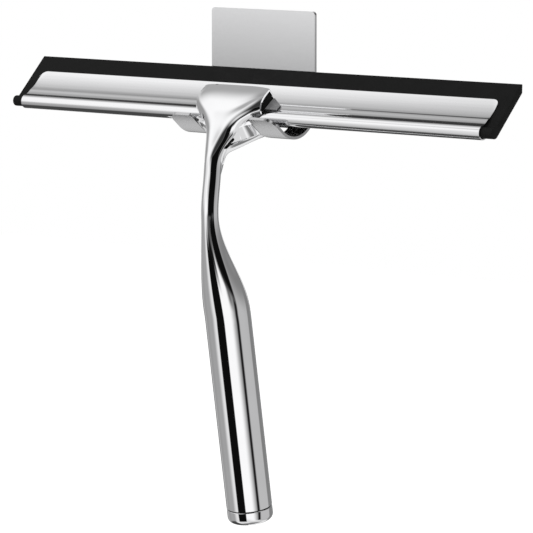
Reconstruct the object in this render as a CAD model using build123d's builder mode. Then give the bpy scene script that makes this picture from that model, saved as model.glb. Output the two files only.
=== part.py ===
from build123d import *
import os
from math import cos, radians, sin, tan

# A T-shaped window squeegee hanging on its stick-on wall hook.
# +X runs along the blade, +Y into the wall, +Z up.
# The origin is the middle of the adhesive pad's back face.
# Sizes in millimetres and degrees. Places on the squeegee are measured from
# the axis of the tube that holds the strip's bead.

# Rubber strip
strip_length = 254.0
strip_reach = 23.7
bead_radius = 2.45
web_thickness = 2.7
base_thickness = 3.6
lip_thickness = 2.4
lip_bevel = 3.0
strip_clearance = 0.25

# Folded channel that holds the strip
channel_sheet = 0.65
channel_inset = 5.6
channel_shift = 5.0
blade_lean = 45.0
band_reach = 4.6
joggle_length = 0.7
flap_reach = 14.5
flap_corner = 3.0

# Wall hook and its adhesive pad
plate_width = 55.0
plate_rise = 42.0
plate_corner = 1.5
hook_sheet = 1.2
hook_reach = 17.8
hook_bend = 12.3
prong_slope = 38.0
prong_drop = 5.4
prong_forward = 9.2
prong_corner = 4.6
prong_slot_corner = 1.2
slot_width = 30.4
slot_end = 14.5
slot_corner = 3.0
seat_gap = 0.05
pad_thickness = 1.0
pad_height = 34.0
pad_margin = 2.5

# Handle: neck and hollow grip
fork_forward = 14.2
fork_up = -24.0
fork_lean = 6.0
neck_radius = 3.5
neck_stations = 9
waist_forward = 15.7
waist_up = -37.0
swell_forward = 10.4
swell_up = -63.7
swell_start = 0.24
swell_end = 0.92
grip_radius = 9.4
grip_length = 80.0
grip_wall = 1.3
grip_bore_depth = 68.0
grip_forward = 4.6
grip_up = -84.0
grip_lean = 9.5

# Head: the hood over the channel and the tongue under it.
# A cut is forward and up from the tube's axis, lean back, half width, half depth.
# A rim is up the blade and off it, half width, half depth.
head_width = 33.0
head_reach = 8.8
head_corner = 2.0
channel_clearance = 0.2
prong_clearance = 0.3
hood_cuts = [
    (13.2, -15.5, 8.0, 4.0, 3.7),
    (10.6, -8.5, 15.0, 6.6, 4.8),
    (4.5, -1.0, 28.0, 16.8, 8.0),
]
hood_rims = [
    (1.5, 0.0, 24.0, 9.5),
    (head_reach, 1.2, 26.0, 6.9),
]
tongue_cuts = [
    (13.3, -23.0, 16.0, 2.7, 2.5),
    (8.6, -14.0, 45.0, 4.8, 3.6),
    (1.5, -10.3, 60.0, 10.0, 4.0),
    (-6.5, -6.4, 72.0, 19.0, 3.6),
]

# Clamp inside the head
hood_recess = 1.5
pocket_reach = 7.4
pocket_height = 5.6
pocket_foot = 1.2
block_clearance = 0.1
liner_thickness = 0.7
liner_length = 45.0
liner_shift = 2.5
liner_top = 8.3
liner_foot = 2.9
liner_slant = 6.8
pad_length = 26.0
screw_radius = 2.0
screw_length = 3.6
screw_spacing = 17.0
screw_reach = 5.2
screw_clearance = 0.05
socket_radius = 1.15
socket_depth = 1.8

# End of the grip
seal_thickness = 0.5
seal_inset = 0.35
cap_height = 5.8
cap_round = 2.4
plug_length = 14.0
plug_clearance = 0.05
stub_radius = 4.0
stub_length = 9.0

# Worked out from the sizes above
tube_bore = bead_radius + strip_clearance
tube_radius = tube_bore + channel_sheet
web_half = web_thickness / 2
base_half = base_thickness / 2
band_half = web_half + strip_clearance + channel_sheet
flap_half = base_half + strip_clearance + channel_sheet
channel_length = strip_length - 2 * channel_inset
joggle_reach = band_reach + joggle_length
liner_back = flap_half + seat_gap
liner_face = liner_back + liner_thickness
head_half = head_width / 2
axis_y = -(hook_reach + hook_sheet + pad_thickness)
axis_z = pad_height / 2 + pad_margin - plate_rise
pad_width = plate_width - 2 * pad_margin
far = 2 * strip_length

# The middle plane holds Y and Z from the tube's axis. The blade's profile
# has its x up the blade and its y out of the front flap.
lean = radians(blade_lean)
up_blade = (0, sin(lean), cos(lean))
off_flap = (0, -cos(lean), sin(lean))
middle = Plane(origin=(0, axis_y, axis_z), x_dir=(0, 1, 0), z_dir=(1, 0, 0))
profile = Plane(origin=(0, axis_y, axis_z), x_dir=up_blade, z_dir=(1, 0, 0))
blade_profile = Plane(origin=(channel_shift, axis_y, axis_z), x_dir=up_blade, z_dir=(1, 0, 0))


def on_flap(height, shift=0.0):
    # a plane over the front flap: x along the blade, y up it
    spot = Vector(shift, axis_y, axis_z) + Vector(*off_flap) * height
    return Plane(origin=spot, x_dir=(1, 0, 0), z_dir=off_flap)


def across(forward, up, lean_back):
    # a cut across the handle, whose normal leans back from straight up
    angle = radians(lean_back)
    spot = (0, axis_y - forward, axis_z + up)
    return Plane(origin=spot, x_dir=(1, 0, 0), z_dir=(0, sin(angle), cos(angle)))


def along_blade(reach, height):
    # a cut across the head, square to the blade
    spot = Vector(0, axis_y, axis_z) + Vector(*up_blade) * reach + Vector(*off_flap) * height
    return Plane(origin=spot, x_dir=(1, 0, 0), z_dir=up_blade)


def stepped_outline(band, flap, end):
    # both sides of the channel: close by the tube, wider under the flaps
    front = [(0, band), (band_reach, band), (joggle_reach, flap), (end, flap)]
    back = [(x, -y) for x, y in reversed(front)]
    Polygon(*front, *back, align=None)


def pocket_outline():
    # the space under the hood, in front of the channel
    Polygon(
        (pocket_reach, 0),
        (pocket_reach, pocket_height),
        (pocket_foot, pocket_height),
        (-pocket_foot, tube_radius + pocket_foot),
        (-pocket_foot, 0),
        align=None,
    )


def channel_envelope(clearance):
    # the channel with its liner in front and its pad behind
    Circle(tube_radius + clearance)
    with Locations((far / 2, 0)):
        Rectangle(far, 2 * (liner_face + clearance))


# Adhesive pad on the wall
with BuildPart() as adhesive_pad:
    with BuildSketch(Plane.XZ):
        RectangleRounded(pad_width, pad_height, plate_corner)
    extrude(amount=pad_thickness)

# Wall hook: one sheet, a plate that bends forward into two prongs
slope = radians(prong_slope)
plate_back = hook_reach + hook_sheet
under_slope = Vector(-sin(slope), -cos(slope))
on_seat = Vector(0, seat_gap)


def slope_height(y):
    # the prongs' upper face, which the tongue rests on
    return -prong_drop / cos(slope) - tan(slope) * y


tip = Vector(-prong_forward, slope_height(-prong_forward))
tip_under = tip + under_slope * hook_sheet
bend = Vector(hook_reach, slope_height(hook_reach))
bend_under = Vector(plate_back, slope_height(plate_back) - hook_sheet / cos(slope))
slot_back = axis_y + slot_end
with BuildPart() as wall_hook:
    with BuildSketch(middle):
        with BuildLine():
            inside = FilletPolyline((hook_reach, plate_rise), bend, tip, radius=hook_bend)
            outside = FilletPolyline(
                (plate_back, plate_rise), bend_under, tip_under, radius=hook_bend + hook_sheet
            )
            Line(inside @ 0, outside @ 0)
            Line(inside @ 1, outside @ 1)
        make_face()
    extrude(amount=plate_width / 2, both=True)
    with BuildSketch(Plane.XY.offset(axis_z)):
        with Locations((0, slot_back - far / 2)):
            slot_face = Rectangle(slot_width, far)
        fillet(slot_face.vertices().group_by(Axis.Y)[-1], slot_corner)
    extrude(amount=plate_rise, both=True, mode=Mode.SUBTRACT)
    through_sheet = Axis((0, 0, 0), (0, under_slope.X, under_slope.Y))
    # the tips' outer corners, then the ones beside the slot
    for group, corner in ((-1, prong_corner), (0, prong_slot_corner)):
        tip_edges = wall_hook.edges().filter_by(through_sheet).filter_by(lambda edge: edge.center().Y < axis_y)
        fillet(tip_edges.group_by(lambda edge: abs(edge.center().X))[group], corner)
    fillet(wall_hook.edges().filter_by(Axis.Y).group_by(Axis.Z)[-1], plate_corner)

# Folded channel: the tube, a narrow band, and a flap each side of the strip
with BuildPart() as blade_channel:
    with BuildSketch(blade_profile):
        Circle(tube_radius)
        stepped_outline(band_half, flap_half, flap_reach)
        with BuildSketch(mode=Mode.PRIVATE) as hollow:
            Circle(tube_bore)
            stepped_outline(band_half - channel_sheet, flap_half - channel_sheet, far)
        add(hollow.sketch, mode=Mode.SUBTRACT)
    extrude(amount=channel_length / 2, both=True)
    with BuildSketch(on_flap(0, channel_shift)):
        with Locations((0, flap_reach - far / 2)):
            flap_face = Rectangle(channel_length, far)
        fillet(flap_face.vertices().group_by(Axis.Y)[-1], flap_corner)
    extrude(amount=far, both=True, mode=Mode.INTERSECT)

# Rubber strip: a bead in the tube, a base between the flaps and a free lip
with BuildPart() as rubber_blade:
    with BuildSketch(blade_profile):
        Circle(bead_radius)
        with BuildLine():
            Polyline(
                (0, web_half),
                (band_reach, web_half),
                (joggle_reach, base_half),
                (flap_reach, base_half),
                (strip_reach, lip_thickness / 2),
                (strip_reach - lip_bevel, -lip_thickness / 2),
                (flap_reach, -base_half),
                (joggle_reach, -base_half),
                (band_reach, -web_half),
                (0, -web_half),
                close=True,
            )
        make_face()
    extrude(amount=strip_length / 2, both=True)

# Handle: neck and grip
grip_top = across(grip_forward, grip_up, -grip_lean)
grip_end = grip_top.offset(-grip_length)
grip_bore = grip_radius - grip_wall
fork_plane = across(fork_forward, fork_up, fork_lean)
waist_plane = across(waist_forward, waist_up, 0)
swell_plane = across(swell_forward, swell_up, 0)
with BuildLine() as neck_line:
    Spline(
        fork_plane.origin,
        waist_plane.origin,
        swell_plane.origin,
        grip_top.origin,
        tangents=[-fork_plane.z_dir, -grip_top.z_dir],
    )


def neck_size(place):
    # slim at the fork, swelling smoothly to the grip
    share = (place - swell_start) / (swell_end - swell_start)
    share = min(max(share, 0), 1)
    return neck_radius + (grip_radius - neck_radius) * share * share * (3 - 2 * share)


def neck_cut(place):
    wire = neck_line.wire()
    return Plane(origin=wire @ place, x_dir=(1, 0, 0), z_dir=-(wire % place))


with BuildPart() as handle_shell:
    for station in range(neck_stations + 1):
        place = station / neck_stations
        with BuildSketch(neck_cut(place)):
            Circle(neck_size(place))
    loft()
    with BuildSketch(grip_top):
        Circle(grip_radius)
    extrude(amount=-grip_length)
    with BuildSketch(neck_cut(0)):
        Circle(neck_radius)
    for forward, up, lean_back, half_width, half_depth in hood_cuts:
        with BuildSketch(across(forward, up, lean_back)):
            Ellipse(half_width, half_depth)
    for reach, height, half_width, half_depth in hood_rims:
        with BuildSketch(along_blade(reach, height)):
            Ellipse(half_width, half_depth)
    loft()
    for forward, up, lean_back, half_width, half_depth in tongue_cuts:
        with BuildSketch(across(forward, up, lean_back)):
            Ellipse(half_width, half_depth)
    loft()
    with BuildSketch(profile):
        channel_envelope(channel_clearance)
        pocket_outline()
    extrude(amount=far, both=True, mode=Mode.SUBTRACT)
    with BuildSketch(on_flap(0)):
        with Locations((0, head_reach - far / 2)):
            head_face = Rectangle(head_width, far)
        fillet(head_face.vertices().group_by(Axis.Y)[-1], head_corner)
    extrude(amount=far, both=True, mode=Mode.INTERSECT)
    for side in (-1, 1):
        with BuildSketch(middle.offset(side * (slot_width / 2 - prong_clearance))):
            with BuildLine():
                seat_line = FilletPolyline(
                    (hook_reach, plate_rise), bend + on_seat, tip + on_seat, radius=hook_bend
                )
                Polyline(seat_line @ 1, (tip.X, -far), (far, -far), (far, plate_rise), seat_line @ 0)
            make_face()
        extrude(amount=side * far, mode=Mode.SUBTRACT)
    with BuildSketch(on_flap(0)):
        with Locations((0, screw_reach)):
            with GridLocations(screw_spacing, 0, 2, 1):
                Circle(screw_radius + screw_clearance)
    extrude(amount=-far / 2, mode=Mode.SUBTRACT)
    with BuildSketch(grip_end):
        Circle(grip_bore)
    extrude(amount=grip_bore_depth, mode=Mode.SUBTRACT)

# Dark block that fills the hood, short of its ends
with BuildPart() as clamp_block:
    with BuildSketch(profile):
        pocket_outline()
        offset(amount=-block_clearance, mode=Mode.REPLACE)
        with BuildSketch(mode=Mode.PRIVATE) as taken:
            channel_envelope(channel_clearance)
        add(taken.sketch, mode=Mode.SUBTRACT)
    extrude(amount=head_half - hood_recess, both=True)

# Grey liner between the block and the front flap, longer than the hood and set towards the right
with BuildPart() as front_liner:
    with BuildSketch(on_flap(liner_back, liner_shift)):
        half = liner_length / 2
        middle_height = (liner_top + liner_foot) / 2
        with BuildLine():
            Polyline(
                (half, liner_foot),
                (half - liner_slant / 4, middle_height),
                (half - liner_slant, liner_top),
                (-half + liner_slant, liner_top),
                (-half + liner_slant / 4, middle_height),
                (-half, liner_foot),
                close=True,
            )
        make_face()
    extrude(amount=liner_thickness)

# Pressure pad behind the back flap
with BuildPart() as back_pad:
    with BuildSketch(on_flap(-liner_back)):
        with Locations((0, (liner_top + liner_foot) / 2)):
            Rectangle(pad_length, liner_top - liner_foot)
    extrude(amount=-liner_thickness)

# Two set screws that press on the pad
with BuildPart() as set_screws:
    with BuildSketch(on_flap(-liner_face - seat_gap)):
        with Locations((0, screw_reach)):
            with GridLocations(screw_spacing, 0, 2, 1):
                Circle(screw_radius)
    extrude(amount=-screw_length)
    with BuildSketch(on_flap(-liner_face - seat_gap - screw_length)):
        with Locations((0, screw_reach)):
            with GridLocations(screw_spacing, 0, 2, 1):
                RegularPolygon(socket_radius, 6)
    extrude(amount=socket_depth, mode=Mode.SUBTRACT)

# Plug in the grip's end, with a hole for the cap's stub
with BuildPart() as cap_plug:
    with BuildSketch(grip_end):
        Circle(grip_bore - plug_clearance)
        Circle(stub_radius + plug_clearance, mode=Mode.SUBTRACT)
    extrude(amount=plug_length)

# Seal ring that shows as a dark line above the cap
with BuildPart() as cap_seal:
    with BuildSketch(grip_end):
        Circle(grip_radius - seal_inset)
        Circle(stub_radius + plug_clearance, mode=Mode.SUBTRACT)
    extrude(amount=-seal_thickness)

# End cap with a stub pressed into the plug
cap_top = grip_end.offset(-seal_thickness)
with BuildPart() as end_cap:
    with BuildSketch(cap_top):
        Circle(grip_radius)
    extrude(amount=-cap_height)
    fillet(end_cap.edges().filter_by(GeomType.CIRCLE).sort_by(Axis.Z)[0], cap_round)
    with BuildSketch(cap_top):
        Circle(stub_radius)
    extrude(amount=stub_length)

pieces = {
    "adhesive_pad": adhesive_pad,
    "wall_hook": wall_hook,
    "blade_channel": blade_channel,
    "rubber_blade": rubber_blade,
    "handle_shell": handle_shell,
    "clamp_block": clamp_block,
    "front_liner": front_liner,
    "back_pad": back_pad,
    "set_screws": set_screws,
    "cap_plug": cap_plug,
    "cap_seal": cap_seal,
    "end_cap": end_cap,
}
os.makedirs("parts", exist_ok=True)
for label, piece in pieces.items():
    piece.part.label = label
    export_step(piece.part, f"parts/{label}.step")
    solids = piece.part.solids()
    box = piece.part.bounding_box()
    print(label, len(solids), "solids", round(piece.part.volume), "mm3", box.min, box.max)
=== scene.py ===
import bisect
import math

import bmesh
import bpy
from mathutils import Matrix, Vector


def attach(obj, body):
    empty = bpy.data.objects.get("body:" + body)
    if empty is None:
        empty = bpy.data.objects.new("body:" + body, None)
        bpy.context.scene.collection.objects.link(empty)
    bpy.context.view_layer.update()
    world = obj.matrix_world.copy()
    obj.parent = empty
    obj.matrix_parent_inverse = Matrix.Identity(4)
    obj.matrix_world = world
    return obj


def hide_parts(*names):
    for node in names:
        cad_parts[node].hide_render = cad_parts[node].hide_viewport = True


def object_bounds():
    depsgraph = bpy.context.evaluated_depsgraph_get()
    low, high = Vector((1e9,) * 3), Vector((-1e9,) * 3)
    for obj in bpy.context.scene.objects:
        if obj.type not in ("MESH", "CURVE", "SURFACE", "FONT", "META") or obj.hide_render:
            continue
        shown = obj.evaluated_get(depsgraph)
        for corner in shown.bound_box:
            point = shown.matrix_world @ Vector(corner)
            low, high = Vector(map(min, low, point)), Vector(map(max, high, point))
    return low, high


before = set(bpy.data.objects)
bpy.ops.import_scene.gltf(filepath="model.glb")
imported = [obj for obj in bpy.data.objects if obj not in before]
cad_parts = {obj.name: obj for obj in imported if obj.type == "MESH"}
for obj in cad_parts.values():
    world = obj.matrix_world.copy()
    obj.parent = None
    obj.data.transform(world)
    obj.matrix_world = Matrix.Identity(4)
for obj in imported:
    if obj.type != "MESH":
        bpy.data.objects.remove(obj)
cadBox = [list(corner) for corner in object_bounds()]
print("frame loaded:", len(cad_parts), "nodes")
mm = 0.001


class Nodes:
    # a node tree, with short calls to add nodes and to join them
    def __init__(self, tree):
        self.tree = tree

    def plug(self, value, socket):
        if isinstance(value, bpy.types.NodeSocket):
            self.tree.links.new(value, socket)
        else:
            socket.default_value = value

    def node(self, kind, inputs=None, **settings):
        made = self.tree.nodes.new(kind)
        for name, value in settings.items():
            setattr(made, name, value)
        for name, value in (inputs or {}).items():
            self.plug(value, made.inputs[name])
        return made

    def out(self, kind, inputs=None, **settings):
        return self.node(kind, inputs, **settings).outputs[0]

    def calc(self, operation, *values):
        return self.out("ShaderNodeMath", dict(enumerate(values)), operation=operation)


# Finishes: grain is a mottle's scale, detail and stretch, between two colours and two roughnesses.
# Pores are a fine bump's scale and strength, and the painted sheen is painted highlight: it scales a plate's
# colour from darker to lighter between two heights.
even = (1, 1, 1)
finishes = {
    "mirrorChrome": {
        "metal": 1.0,
        "grain": (60, 4, even),
        "colours": ((0.93, 0.93, 0.94), (0.97, 0.97, 0.98)),
        "rough": (0.015, 0.04),
    },
    "polishedSheet": {
        "metal": 1.0,
        "grain": (900, 3, (0.02, 1, 1)),
        "colours": ((0.90, 0.90, 0.91), (0.95, 0.95, 0.96)),
        "rough": (0.06, 0.11),
    },
    "satinPlate": {
        "metal": 1.0,
        "grain": (2600, 3, (0.35, 1, 1)),
        "colours": ((0.85, 0.85, 0.86), (0.89, 0.89, 0.90)),
        "rough": (0.22, 0.25),
        # painted highlight: colour scale at the lower and the upper height, so the plate is painted lighter
        # towards its top
        "paintedSheen": (0.68, 1.1),
        "paintedSheenHeights": (-10 * mm, 19 * mm),
    },
    "blackRubber": {
        "grain": (220, 5, even),
        "colours": ((0.005, 0.005, 0.005), (0.009, 0.009, 0.009)),
        "rough": (0.55, 0.7),
        "shine": 0.16,
        "pores": (4000, 0.25),
    },
    "darkPlastic": {
        "grain": (400, 4, even),
        "colours": ((0.003, 0.003, 0.003), (0.007, 0.007, 0.007)),
        "rough": (0.4, 0.55),
        "shine": 0.06,
        "pores": (2500, 0.2),
    },
}
finishes["greyPlastic"] = {
    **finishes["darkPlastic"], "colours": ((0.19, 0.19, 0.195), (0.28, 0.28, 0.285)), "shine": 0.4}
finishes["foamTape"] = {**finishes["greyPlastic"], "colours": ((0.62, 0.63, 0.62), (0.74, 0.75, 0.74))}
# the screws share the plate's finish with its painted highlight, which leaves them at its darkest
finishes["screwSteel"] = finishes["satinPlate"]
mottleEnds = (0.3, 0.7)  # the noise seldom leaves this range
poreDetail, poreDepth = 2, 0.0001


class Finish(Nodes):
    # a material's node tree, with the nodes that the finishes share
    def __init__(self, name):
        self.material = bpy.data.materials.new(name)
        self.material.use_nodes = True
        super().__init__(self.material.node_tree)
        self.coords = self.node("ShaderNodeTexCoord").outputs["Object"]

    def noise(self, scale, detail, stretch=even):
        place = self.out("ShaderNodeMapping", {"Vector": self.coords, "Scale": stretch})
        return self.out("ShaderNodeTexNoise", {"Vector": place, "Scale": scale, "Detail": detail})

    def spread(self, source, values, ends=mottleEnds):
        inputs = {"From Min": ends[0], "From Max": ends[1], "To Min": values[0], "To Max": values[1]}
        return self.out("ShaderNodeMapRange", {"Value": source, **inputs})

    def tint(self, source, colours):
        ramp = self.node("ShaderNodeValToRGB", {"Fac": source})
        for element, position, colour in zip(ramp.color_ramp.elements, mottleEnds, colours):
            element.position = position
            element.color = (*colour, 1)
        return ramp.outputs["Color"]


def makeFinish(name, values):
    finish = Finish(name)
    shader = finish.tree.nodes["Principled BSDF"].inputs
    grain = finish.noise(*values["grain"])
    tint = finish.tint(grain, values["colours"])
    if "metal" in values:
        shader["Metallic"].default_value = values["metal"]
    if "shine" in values:
        shader["Specular IOR Level"].default_value = values["shine"]
    if "paintedSheen" in values:  # painted highlight: the plate's colour is painted lighter towards its top, standing in for the brighter reflection there
        height = finish.node("ShaderNodeSeparateXYZ", {0: finish.coords}).outputs["Z"]
        paintedSheen = finish.spread(height, values["paintedSheen"], values["paintedSheenHeights"])
        tint = finish.out("ShaderNodeVectorMath", {0: tint, "Scale": paintedSheen}, operation="SCALE")
    if "pores" in values:
        scale, strength = values["pores"]
        inputs = {"Height": finish.noise(scale, poreDetail), "Strength": strength, "Distance": poreDepth}
        finish.plug(finish.out("ShaderNodeBump", inputs), shader["Normal"])
    finish.plug(tint, shader["Base Color"])
    finish.plug(finish.spread(grain, values["rough"]), shader["Roughness"])
    return finish.material


material = {name: makeFinish(name, values) for name, values in finishes.items()}
print("finishes ready:", len(material))


# Meshes are drawn in millimetres and brought to metres at the end.
tubeAxis = Vector((0, -20.0, -22.5))  # the tube that holds the strip's bead
bladeLean = math.radians(45)
upBlade = Vector((0, math.sin(bladeLean), math.cos(bladeLean)))
offFlap = Vector((0, -math.cos(bladeLean), math.sin(bladeLean)))
alongX = Vector((1, 0, 0))
far, aside = 300.0, 60.0  # past the whole object, and past both sides of the head


def onBlade(x, reach, height):
    return tubeAxis + alongX * x + upBlade * reach + offFlap * height


def spot(forward, up):
    # a place in the middle plane
    return tubeAxis + Vector((0, -forward, up))


def smoothLine(knots, values, startSlope=None, endSlope=None):
    # a curve through the values, without kinks
    last = len(knots) - 1
    steps = [knots[i + 1] - knots[i] for i in range(last)]
    rises = [(values[i + 1] - values[i]) / steps[i] for i in range(last)]
    slopes = [rises[0] if startSlope is None else startSlope] + rises[1:]
    slopes.append(rises[-1] if endSlope is None else endSlope)
    for sweep in range(60):  # enough for the slopes to settle
        for i in range(1, last):
            pull = steps[i] * (3 * rises[i - 1] - slopes[i - 1])
            pull += steps[i - 1] * (3 * rises[i] - slopes[i + 1])
            slopes[i] = pull / (2 * (steps[i - 1] + steps[i]))

    def at(knot):
        i = min(max(bisect.bisect_right(knots, knot) - 1, 0), last - 1)
        share = (knot - knots[i]) / steps[i]
        rest = 1 - share
        level = values[i] * (1 + 2 * share) * rest ** 2 + values[i + 1] * (1 + 2 * rest) * share ** 2
        return level + steps[i] * share * rest * (slopes[i] * rest - slopes[i + 1] * share)

    return at


def skin(rings):
    # closed rings joined into a tube with closed ends
    shell = bmesh.new()
    loops = [[shell.verts.new(point) for point in ring] for ring in rings]
    for low, high in zip(loops, loops[1:]):
        for i in range(len(low)):
            shell.faces.new((low[i - 1], low[i], high[i], high[i - 1]))
    for loop in (loops[0], loops[-1]):
        shell.faces.new(loop)
    bmesh.ops.recalc_face_normals(shell, faces=shell.faces)
    return shell


def prism(outline, depth):
    # a flat outline pushed along a vector
    shell = bmesh.new()
    face = shell.faces.new([shell.verts.new(point) for point in outline])
    pushed = bmesh.ops.extrude_face_region(shell, geom=[face])["geom"]
    corners = [part for part in pushed if isinstance(part, bmesh.types.BMVert)]
    bmesh.ops.translate(shell, verts=corners, vec=depth)
    bmesh.ops.recalc_face_normals(shell, faces=shell.faces)
    return shell


def acrossHead(outline, half=aside):
    # an outline square to the blade, pushed along it
    return prism([onBlade(-half, reach, height) for reach, height in outline], alongX * 2 * half)


def roundCorners(corners, radii, steps=8):
    # flat outline with each corner turned into an arc of its own radius
    outline = []
    for i, (corner, radius) in enumerate(zip(corners, radii)):
        corner = Vector(corner)
        before = (Vector(corners[i - 1]) - corner).normalized()
        after = (Vector(corners[(i + 1) % len(corners)]) - corner).normalized()
        if radius == 0:
            outline.append(corner)
            continue
        half = before.angle(after) / 2
        middle = corner + (before + after).normalized() * radius / math.sin(half)
        start = corner + before * radius / math.tan(half) - middle
        end = corner + after * radius / math.tan(half) - middle
        sweep = start.angle_signed(end)
        for step in range(steps + 1):
            outline.append(middle + Matrix.Rotation(-sweep * step / steps, 2) @ start)
    return outline


def draw(name, shell):
    mesh = bpy.data.meshes.new(name)
    shell.to_mesh(mesh)
    shell.free()
    piece = bpy.data.objects.new(name, mesh)
    bpy.context.collection.objects.link(piece)
    return piece


def lifted(piece):
    # back to a loose shell, and the piece goes
    shell = bmesh.new()
    shell.from_mesh(piece.data)
    bpy.data.meshes.remove(piece.data)
    return shell


def settle(piece):
    # what the modifiers make of the mesh becomes the mesh
    bpy.context.view_layer.update()
    shaped = bpy.data.meshes.new_from_object(piece.evaluated_get(bpy.context.evaluated_depsgraph_get()))
    piece.modifiers.clear()
    before = piece.data
    piece.data = shaped
    bpy.data.meshes.remove(before)


def carve(piece, shell, operation="DIFFERENCE"):
    tool = draw("tool", shell)
    cut = piece.modifiers.new("cut", "BOOLEAN")
    cut.solver = "EXACT"
    cut.operation = operation
    cut.object = tool
    settle(piece)
    bpy.data.meshes.remove(tool.data)


def tidyEdges(piece, shortest):
    # the crumbs that cutting leaves would stop a bevel
    shell = bmesh.new()
    shell.from_mesh(piece.data)
    bmesh.ops.remove_doubles(shell, verts=shell.verts, dist=shortest)
    bmesh.ops.dissolve_degenerate(shell, edges=shell.edges, dist=shortest / 4)
    shell.to_mesh(piece.data)
    shell.free()


def bevel(piece, width, segments=2, angle=40):
    edge = piece.modifiers.new("edge", "BEVEL")
    edge.width = width
    edge.segments = segments
    edge.limit_method = "ANGLE"
    edge.angle_limit = math.radians(angle)
    settle(piece)


def dress(piece, node, body, material, crease=40):
    # to metres, smooth but for sharp edges, and in place of its CAD node
    mesh = piece.data
    mesh.transform(Matrix.Scale(mm, 4))
    mesh.shade_smooth()
    if crease is None:  # flat faces stay flat between rounded edges
        faces = piece.modifiers.new("faces", "WEIGHTED_NORMAL")
        faces.weight = 100
        settle(piece)
        mesh = piece.data
    else:
        mesh.set_sharp_from_angle(angle=math.radians(crease))
    mesh.materials.clear()
    mesh.materials.append(material)
    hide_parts(node)
    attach(piece, body)
    print(piece.name, "has", len(mesh.polygons), "faces")


# Wall hook: one sheet whose plate bends forward into two prongs, on its adhesive pad.
hook = {
    "width": 55.0,
    "rise": 42.0,  # from the tube's axis to the plate's top
    "reach": 17.8,  # from the tube's axis back to the plate
    "sheet": 1.2,
    "bend": 12.3,
    "slope": 38.0,
    "drop": 5.4,
    "forward": 9.2,
    "tipCorner": 4.6,
    "slotTipCorner": 1.2,
    "plateCorner": 1.5,
    "slotWidth": 30.4,
    "slotEnd": 14.5,
    "slotCorner": 1.2,
    "slotWiden": 2.2,  # each side, behind the tongue
    "slotShoulder": (-2.0, -5.0),  # where the widening starts and ends, forward of the axis
    "edge": (0.22, 3, 50),  # width, steps and least angle of its rounded edges
}
pad = {"width": 50.0, "height": 34.0, "thickness": 1.0, "corner": 1.5, "edge": (0.3, 3, 50)}


def seatHeight(back):
    # upper face of the prongs, which the tongue rests on
    slope = math.radians(hook["slope"])
    return -hook["drop"] / math.cos(slope) - math.tan(slope) * back


def hookLine(out, lift=0.0, steps=40):
    # from the plate's top round the bend to the tip, pushed out of the sheet's inner face
    slope = math.radians(hook["slope"])
    radius = hook["bend"] + out
    back = hook["reach"] + out
    turn = math.pi / 2 + slope
    centreBack = hook["reach"] - hook["bend"]
    run = hook["bend"] / math.tan((math.pi - turn) / 2)
    centreUp = seatHeight(hook["reach"]) + lift + run
    line = [(back, hook["rise"])]
    for step in range(steps + 1):
        angle = turn * step / steps
        line.append((centreBack + radius * math.cos(angle), centreUp - radius * math.sin(angle)))
    tipUp = seatHeight(-hook["forward"]) + lift
    line.append((-hook["forward"] - out * math.sin(slope), tipUp - out * math.cos(slope)))
    return line


def cornerCut(x, inward, radius, steps, margin):
    # what a rounded corner takes off, by its distance from the middle and along from the edge
    outline = []
    for step in range(steps + 1):
        angle = math.pi / 2 * step / steps
        outline.append((x + inward * radius * (1 - math.sin(angle)), -radius * (1 - math.cos(angle))))
    return outline + [(x - inward, -radius), (x - inward, margin), (x + inward * radius, margin)]


def makeHook():
    outline = hookLine(0) + hookLine(hook["sheet"])[::-1]
    half, slot = hook["width"] / 2, hook["slotWidth"] / 2
    sides = [spot(-back, up) - alongX * half for back, up in outline]
    piece = draw("wallHook", prism(sides, alongX * 2 * half))
    wide = slot + hook["slotWiden"]
    narrowEnd, wideEnd = hook["slotShoulder"]
    right = [(wide, -hook["slotEnd"]), (wide, wideEnd), (slot, narrowEnd), (slot, aside)]
    corners = [(-x, forward) for x, forward in right[::-1]] + right
    radii = [0] + [hook["slotCorner"]] * 6 + [0]
    outline = [spot(forward, -aside) + alongX * x for x, forward in roundCorners(corners, radii)]
    carve(piece, prism(outline, Vector((0, 0, 2 * aside))))
    # each prong's corners, cut square to its slope
    slope = math.radians(hook["slope"])
    alongProng = Vector((0, -math.cos(slope), math.sin(slope)))
    through = Vector((0, math.sin(slope), math.cos(slope)))
    depth = through * 10
    tip = spot(hook["forward"], seatHeight(-hook["forward"])) - depth / 2
    for side in (-1, 1):
        for x, inward, radius in ((half, -1, hook["tipCorner"]), (slot, 1, hook["slotTipCorner"])):
            cut = cornerCut(x, inward, radius, 12, 2)
            carve(piece, prism([tip + alongX * side * off + alongProng * along for off, along in cut], depth))
    # the plate's top corners
    top = spot(-10, hook["rise"])
    for side in (-1, 1):
        cut = cornerCut(half, -1, hook["plateCorner"], 10, 1)
        carve(piece, prism([top + Vector((side * x, 0, z)) for x, z in cut], Vector((0, 15, 0))))
    bevel(piece, *hook["edge"])
    return piece


def makePad():
    half, tall = pad["width"] / 2, pad["height"] / 2
    corners = [(half, tall), (-half, tall), (-half, -tall), (half, -tall)]
    outline = [Vector((x, 0, z)) for x, z in roundCorners(corners, [pad["corner"]] * 4)]
    piece = draw("adhesivePad", prism(outline, Vector((0, -pad["thickness"], 0))))
    bevel(piece, *pad["edge"])
    return piece


dress(makeHook(), "wall_hook", "hook", material["satinPlate"], None)
dress(makePad(), "adhesive_pad", "hook", material["foamTape"], None)


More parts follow.
